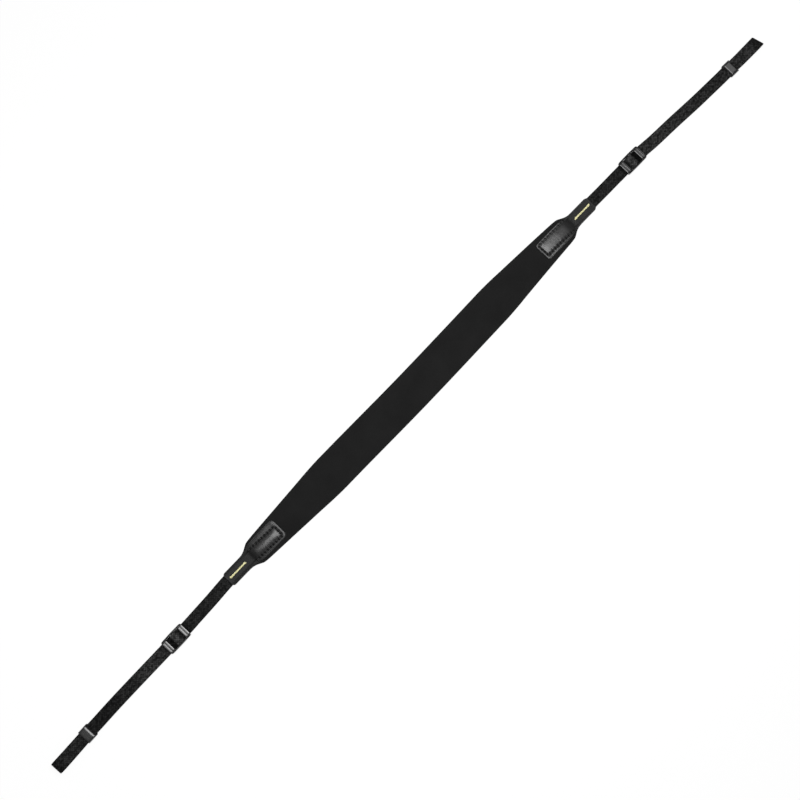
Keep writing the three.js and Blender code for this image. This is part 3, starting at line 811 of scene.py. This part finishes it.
def slider_shape():
    """The slider about its own middle, melted into one moulded body with soft edges."""
    points, faces = join(slider_parts())
    mesh = new_mesh("slider_blank", points, faces)
    outward(mesh)
    blank = add_object("slider_blank", mesh)
    melt = blank.modifiers.new("melt", "REMESH")
    melt.mode = "VOXEL"
    melt.voxel_size = SLIDER_MELT.voxel
    soften = blank.modifiers.new("soften", "SMOOTH")
    soften.factor = SLIDER_MELT.factor
    soften.iterations = SLIDER_MELT.smoothing
    melted = blank.evaluated_get(bpy.context.evaluated_depsgraph_get()).to_mesh()
    points = np.array([vertex.co for vertex in melted.vertices])
    faces = [list(face.vertices) for face in melted.polygons]
    bpy.data.objects.remove(blank)
    bpy.data.meshes.remove(mesh)
    return rounded_sides(recessed(points)), faces


def recessed(points):
    """Shapes the top of each end bar into two low ridges with a slot sunk between them."""
    reach, bar = SLIDER.length / 2, SLIDER.bar_length
    from_bar = np.abs(np.abs(points[:, 0]) - (reach - bar / 2))
    soft = BAR_RECESS.soft
    in_slot = 1 - smooth(from_bar, BAR_RECESS.half_width, BAR_RECESS.half_width + soft)
    in_slot *= 1 - smooth(np.abs(points[:, 1]), BAR_RECESS.half_length, BAR_RECESS.half_length + soft)
    off_ridge = np.clip((from_bar - BAR_RIDGE.at) / BAR_RIDGE.half, -1, 1) ** 2
    sink = BAR_RIDGE.sag * off_ridge + BAR_RECESS.depth * in_slot
    on_top = smooth(points[:, 2], BAR_LOW + BAR_RECESS.top_from, BAR_LOW + BAR_RECESS.top_to)
    sunk = points.copy()
    sunk[:, 2] -= sink * (on_top * (from_bar < bar / 2 + soft))
    return sunk


def rounded_sides(points):
    """Rounds the tops of the slider's rails, and the bars' ends where they meet the rails."""
    along, aside, height = np.abs(points[:, 0]), np.abs(points[:, 1]), points[:, 2]
    half, thick, top = SLIDER.width / 2, SLIDER.rail_thick, SLIDER.rail_height
    window = SLIDER.length / 2 - SLIDER.bar_length
    by_bar = smooth(along, window - BAR_SIDE.blend, window)
    on_bar = np.clip((aside - BAR_SIDE.starts_at) / (half - BAR_SIDE.starts_at), 0, 1)
    on_rail = np.clip(np.abs(aside - (half - thick / 2)) / (thick / 2), 0, 1)
    drop = BAR_SIDE.drop * on_bar ** 2 * by_bar + RAIL.drop * on_rail ** 2 * (1 - by_bar)
    rounded = points.copy()
    rounded[:, 2] -= drop * smooth(height, top - RAIL.top_from, top - RAIL.top_to)
    return rounded


def slider(end, shape, material):
    shape = seated(shape, end, end.slider)
    make_piece(f"adjuster_{end.name}", shape, material, f"slider_{end.name}")


def rounded_outline(half, low, high, corner):
    """Points round a rectangle with round corners, the same number on each side and corner."""
    centres = [
        (half - corner, low + corner, -pi / 2), (half - corner, high - corner, 0),
        (-half + corner, high - corner, pi / 2), (-half + corner, low + corner, pi),
    ]
    arcs = []
    for y, z, first in centres:
        turns = np.linspace(first, first + pi / 2, KEEPER_STEPS.corner + 1)
        arcs.append(np.stack([y + corner * np.cos(turns), z + corner * np.sin(turns)], axis=1))
    shares = np.linspace(0, 1, KEEPER_STEPS.side + 1)[1:-1, None]
    outline = []
    for arc, following in zip(arcs, arcs[1:] + arcs[:1]):
        outline += [arc, mix(arc[-1], following[0], shares)]
    return np.concatenate(outline)


def bevel_inset(from_top, size, power):
    """Loss of length at a bevelled top edge, straight for a power of 1 and round for 2."""
    short = np.clip(1 - from_top / size, 0, 1)
    return size * (1 - (1 - short ** power) ** (1 / power))


def keeper_wall():
    """The wall's section: shares of the half length, and of the way from its outside to its inside."""
    edge = KEEPER.edge / (KEEPER.length / 2)
    outside, inside = KEEPER.edge_outside, KEEPER.edge_inside
    flat = np.linspace(-1 + edge, 1 - edge, KEEPER_STEPS.flat)
    turns = np.linspace(0, pi / 2, KEEPER_STEPS.edge)[1:]
    loop = [(x, 0) for x in flat]
    loop += [(1 - edge + edge * sin(a), outside * (1 - cos(a))) for a in turns]
    loop += [(1 - edge + edge * cos(a), 1 - inside + inside * sin(a)) for a in turns]
    loop += [(x, 1) for x in flat[::-1]]
    loop += [(-1 + edge - edge * sin(a), 1 - inside * (1 - cos(a))) for a in turns]
    loop += [(-1 + edge - edge * cos(a), outside * (1 - sin(a))) for a in turns[:-1]]
    return np.array(loop).T


def keeper_shape(lean, bevel):
    """Sleeve with rounded edges and a shorter top, slanted along the strap."""
    half, height = KEEPER.width / 2, KEEPER.height
    outer = rounded_outline(half, 0, height, KEEPER.corner)
    inner_top = height - KEEPER.roof
    inner = rounded_outline(half - KEEPER.wall, KEEPER.floor, inner_top, KEEPER.inner_corner)
    x_share, share = keeper_wall()
    yz = mix(outer[:, None], inner[:, None], share[None, :, None])
    y, z = yz[..., 0], yz[..., 1]
    reach = KEEPER.length / 2 - bevel_inset(height - z, KEEPER.top_round, bevel)
    points = np.stack([x_share[None, :] * reach + lean * (z - height / 2), y, z], axis=-1)
    return points.reshape(-1, 3), grid_faces(len(outer), len(share), wrap_rows=True, wrap_columns=True)


def keeper(end, material):
    shape = seated(keeper_shape(end.keeper_lean, end.keeper_bevel), end, end.keeper)
    make_piece(f"sleeve_{end.name}", shape, material, f"keeper_{end.name}")


# Materials

def set_inputs(tree, node, inputs):
    """Sets a node's inputs, each to a number, a colour or another node's output."""
    for name, value in inputs.items():
        if isinstance(value, bpy.types.NodeSocket):
            tree.links.new(value, node.inputs[name])
        else:
            node.inputs[name].default_value = value


def add_node(tree, kind, inputs=None, **settings):
    node = tree.nodes.new("ShaderNode" + kind)
    for name, value in settings.items():
        setattr(node, name, value)
    set_inputs(tree, node, inputs or {})
    return node


def maths(tree, operation, first, second=0.0):
    return add_node(tree, "Math", {0: first, 1: second}, operation=operation).outputs[0]


def times(tree, first, second):
    return maths(tree, "MULTIPLY", first, second)


def vectors(tree, operation, first, second):
    return add_node(tree, "VectorMath", {0: first, 1: second}, operation=operation).outputs[0]


def attribute(tree, name):
    return add_node(tree, "Attribute", attribute_name=name).outputs["Fac"]


def grey(value):
    return (value, value, value, 1.0)


def ramp(tree, factor, stops):
    """Colour that follows a factor, from (place, colour) stops."""
    node = add_node(tree, "ValToRGB", {"Fac": factor})
    elements = node.color_ramp.elements
    elements[0].position, elements[0].color = stops[0]
    elements[1].position, elements[1].color = stops[-1]
    for place, colour in stops[1:-1]:
        elements.new(place).color = colour
    return node.outputs["Color"]


def ranged(tree, value, low, high, start=0.0, finish=1.0):
    """Value that runs from low to high as another runs from its start to its finish."""
    inputs = {"Value": value, "From Min": start, "From Max": finish, "To Min": low, "To Max": high}
    return add_node(tree, "MapRange", inputs).outputs["Result"]


def both_ways(tree, value, lowest, highest):
    """Grey to multiply a colour by: 1 where a value is 0, and these greys where it is -1 and 1."""
    stops = [(0.0, grey(lowest)), (0.5, grey(1.0)), (1.0, grey(highest))]
    return ramp(tree, ranged(tree, value, 0.0, 1.0, start=-1.0), stops)


def millimetres(tree):
    """The surface point in millimetres."""
    place = add_node(tree, "TexCoord").outputs["Object"]
    return vectors(tree, "MULTIPLY", place, (1 / MM,) * 3)


def noise(tree, place, size, detail=3.0):
    inputs = {"Vector": place, "Scale": 1 / size, "Detail": detail}
    return add_node(tree, "TexNoise", inputs).outputs["Fac"]


def bump(tree, height, depth, normal=None):
    """Normal of a relief whose height from 0 to 1 is that many millimetres deep."""
    inputs = {"Height": height, "Strength": 1.0, "Distance": depth * MM}
    if normal is not None:
        inputs["Normal"] = normal
    return add_node(tree, "Bump", inputs).outputs["Normal"]


def new_material(name):
    material = bpy.data.materials.new(name)
    material.use_nodes = True
    return material, material.node_tree, material.node_tree.nodes["Principled BSDF"]


def knit_material():
    """Fine black jersey on foam: small knit loops, a faint nap and a soft bloom."""
    material, tree, shader = new_material("knit_cloth")
    place = millimetres(tree)
    parts = add_node(tree, "SeparateXYZ", {0: place})
    column = times(tree, parts.outputs["Y"], pi / KNIT.wale)
    rib = maths(tree, "ABSOLUTE", maths(tree, "SINE", column))
    row = times(tree, parts.outputs["X"], 2 * pi / KNIT.course)
    loop = maths(tree, "SINE", maths(tree, "ADD", row, times(tree, rib, KNIT.bend)))
    knit = maths(tree, "ADD", rib, times(tree, loop, KNIT.loop))
    nap = noise(tree, place, KNIT.nap, detail=5.0)
    broad = noise(tree, place, KNIT.broad)
    set_inputs(tree, shader, {
        "Base Color": ramp(tree, broad, [(0.3, grey(0.008)), (0.7, grey(0.0108))]),
        "Roughness": ranged(tree, nap, 0.82, 0.96),
        "Specular IOR Level": 0.14,
        "Sheen Weight": 0.05,
        "Sheen Roughness": 0.45,
        "Normal": bump(tree, nap, KNIT.depth, bump(tree, knit, KNIT.depth)),
    })
    return material


def leather_material():
    """Black grained leather: pebbles with creases between them, and a glossy finish that ends at the neck."""
    material, tree, shader = new_material("grained_leather")
    place = millimetres(tree)
    warp_inputs = {"Vector": place, "Scale": GRAIN.warps_per_mm, "Detail": 2.0}
    warp = add_node(tree, "TexNoise", warp_inputs).outputs["Color"]
    cell_inputs = {"Vector": vectors(tree, "ADD", place, warp), "Scale": 1 / GRAIN.pebble}
    cells = add_node(tree, "TexVoronoi", cell_inputs, feature="DISTANCE_TO_EDGE").outputs["Distance"]
    pebble = ranged(tree, cells, 0.0, 1.0, finish=GRAIN.crease)
    fine = noise(tree, place, GRAIN.fine, detail=4.0)
    broad = noise(tree, place, GRAIN.broad)
    dye = ramp(tree, pebble, [(0.0, grey(0.007)), (1.0, grey(0.013))])
    # Painted shade in the puckers and the neck's crease, and a painted highlight on the rim, scale the dye
    shade = both_ways(tree, attribute(tree, "shade"), 9.0, 0.12)
    finish = attribute(tree, "finish")
    set_inputs(tree, shader, {
        "Base Color": vectors(tree, "MULTIPLY", dye, shade),
        "Roughness": ranged(tree, broad, 0.45, 0.6),
        "Specular IOR Level": 0.2,
        "Normal": bump(tree, fine, 0.02, bump(tree, pebble, 0.03)),
        "Coat Weight": times(tree, finish, ranged(tree, broad, 0.7, 1.2)),
        "Coat Roughness": 0.25,
        "Coat Normal": bump(tree, pebble, 0.008),
    })
    return material


def webbing_material():
    """Black nylon yarn: bundles that dip and rise in turn, each in its own tone, with painted shade in the
    dips and painted light and shade on top.
    """
    material, tree, shader = new_material("woven_nylon")
    run, across = attribute(tree, "run"), attribute(tree, "across")
    place = add_node(tree, "CombineXYZ", {"X": run, "Y": across}).outputs[0]
    filaments = noise(tree, vectors(tree, "MULTIPLY", place, (YARN.drawn, 1, 1)), YARN.filament, detail=2.0)
    # Which bundle, and how far along its own waves
    bundle = maths(tree, "FLOOR", times(tree, across, WEAVE.bundles / WEB_WIDTH))
    half_wave = times(tree, maths(tree, "FLOORED_MODULO", bundle, 2.0), 0.5)
    waves = maths(tree, "ADD", times(tree, run, 1 / WEAVE.pitch), half_wave)
    rise = maths(tree, "COSINE", times(tree, waves, 2 * pi))
    float_number = maths(tree, "FLOOR", maths(tree, "ADD", waves, 0.5))
    float_place = add_node(tree, "CombineXYZ", {"X": float_number, "Y": bundle}).outputs[0]
    white_noise = add_node(tree, "TexWhiteNoise", {"Vector": float_place}, noise_dimensions="2D")
    by_float = times(tree, white_noise.outputs["Value"], YARN.float_share)
    by_patch = times(tree, noise(tree, place, YARN.patch, detail=2.0), YARN.patch_share)
    tone = maths(tree, "ADD", by_patch, by_float)
    yarn_colour = ramp(tree, tone, [(0.36, grey(0.0036)), (0.5, grey(0.011)), (0.64, grey(0.021))])
    # Painted shade in the dips of each bundle's waves and painted light on its rises
    painted_weave_shade = ramp(tree, ranged(tree, rise, 0.0, 1.0, start=-1.0), [(0.0, grey(0.55)), (1.0, grey(1.4))])
    woven = vectors(tree, "MULTIPLY", yarn_colour, painted_weave_shade)
    # The yarn's colour is made lighter or darker by painted light and shade
    set_inputs(tree, shader, {
        "Base Color": vectors(tree, "MULTIPLY", woven, both_ways(tree, attribute(tree, "painted_light"), 0.3, 3.0)),
        "Roughness": ranged(tree, filaments, 0.55, 0.8),
        "Specular IOR Level": 0.06,
        "Sheen Weight": 0.02,
        "Sheen Roughness": 0.4,
        "Normal": bump(tree, filaments, 0.04),
    })
    return material


def plastic_material(name, gloss, tone, rough, grain):
    """Moulded plastic: an almost even colour, a fine skin and faint rubbing marks."""
    material, tree, shader = new_material(name)
    place = millimetres(tree)
    skin = noise(tree, place, PLASTIC.skin, detail=2.0)
    rubbed = noise(tree, place, PLASTIC.rubbed, detail=5.0)
    scratches = noise(tree, vectors(tree, "MULTIPLY", place, (PLASTIC.drawn, 1, 1)), PLASTIC.scratch)
    set_inputs(tree, shader, {
        "Base Color": ramp(tree, rubbed, [(0.3, grey(tone * 0.85)), (0.7, grey(tone * 1.2))]),
        "Roughness": ranged(tree, scratches, rough - 0.06, rough + 0.08),
        "Specular IOR Level": gloss / 2,
        "Coat Weight": gloss,
        "Coat Roughness": 0.12,
        "Normal": bump(tree, skin, grain),
    })
    return material


def thread_material(name, dark, light):
    """Twisted sewing thread."""
    material, tree, shader = new_material(name)
    place = millimetres(tree)
    wave_inputs = {"Vector": place, "Scale": 1.4, "Distortion": 1.5, "Detail": 1.0}
    twist = add_node(tree, "TexWave", wave_inputs, bands_direction="DIAGONAL").outputs["Fac"]
    tone = noise(tree, place, 0.6)
    set_inputs(tree, shader, {
        "Base Color": ramp(tree, tone, [(0.3, dark), (0.7, light)]),
        "Roughness": ranged(tree, twist, 0.45, 0.65),
        "Specular IOR Level": 0.3,
        "Sheen Weight": 0.1,
        "Normal": bump(tree, twist, 0.05),
    })
    return material


# Stage

def floor():
    """Plain pale ground under the strap."""
    material, tree, shader = new_material("pale_ground")
    set_inputs(tree, shader, {
        "Base Color": grey(0.12),
        "Roughness": 0.9,
        "Specular IOR Level": 0.0,
        "Emission Color": grey(1.0),
        "Emission Strength": 0.9,
    })
    quarters = [(-1, -1), (1, -1), (1, 1), (-1, 1)]
    corners = [(GROUND.reach * x, GROUND.reach * y, -GROUND.below) for x, y in quarters]
    mesh = new_mesh("ground", corners, [(0, 1, 2, 3)])
    mesh.materials.append(material)
    add_object("ground", mesh)


def softbox(name, place, aim, size, power):
    """Rectangular studio light, out of the camera's sight."""
    lamp = bpy.data.lights.new(name, "AREA")
    lamp.shape = "RECTANGLE"
    lamp.size, lamp.size_y = size
    lamp.energy = power
    light = add_object(name, lamp)
    light.location = place
    light.rotation_euler = (Vector(aim) - Vector(place)).to_track_quat("-Z", "Y").to_euler()
    light.visible_camera = False


def studio():
    world = bpy.data.worlds.new("studio")
    world.use_nodes = True
    set_inputs(world.node_tree, world.node_tree.nodes["Background"], {"Color": grey(1.0), "Strength": 0.3})
    bpy.context.scene.world = world
    for box in SOFTBOXES:
        softbox(**box)
    bpy.context.scene.view_settings.view_transform = "Standard"


def camera():
    turn, lift = radians(CAMERA.turn), radians(CAMERA.elevation)
    right = Vector((cos(turn), -sin(turn), 0))
    ahead = Vector((sin(turn), cos(turn), 0))
    back = -ahead * cos(lift) + Vector((0, 0, sin(lift)))
    up = back.cross(right)
    lens = bpy.data.cameras.new("camera")
    lens.lens = CAMERA.lens
    lens.sensor_width = CAMERA.sensor
    eye = add_object("camera", lens)
    place = Vector(CAMERA.look_at) + back * CAMERA.distance
    turned = Matrix((right, up, back)).transposed().to_4x4()
    eye.matrix_world = Matrix.Translation(place * MM) @ turned
    bpy.context.scene.camera = eye


def dressed_strap():
    knit = knit_material()
    leather = leather_material()
    nylon = webbing_material()
    black_thread = thread_material("black_thread", grey(0.018), grey(0.04))
    yellow_thread = thread_material("yellow_thread", (0.7, 0.66, 0.34, 1), (0.86, 0.83, 0.5, 1))
    slider_form = slider_shape()
    neck_pad(knit)
    for end in ENDS:
        leather_tab(end, leather)
        seam_stitches(end, black_thread)
        satin_bar(end, yellow_thread)
        webbing(end, nylon)
        gloss_plastic = plastic_material(f"gloss_plastic_{end.name}", end.slider_gloss, **SLIDER_PLASTIC)
        slider(end, slider_form, gloss_plastic)
        satin_plastic = plastic_material(f"satin_plastic_{end.name}", end.keeper_gloss, **KEEPER_PLASTIC)
        keeper(end, satin_plastic)


camera()
dressed_strap()
floor()
studio()
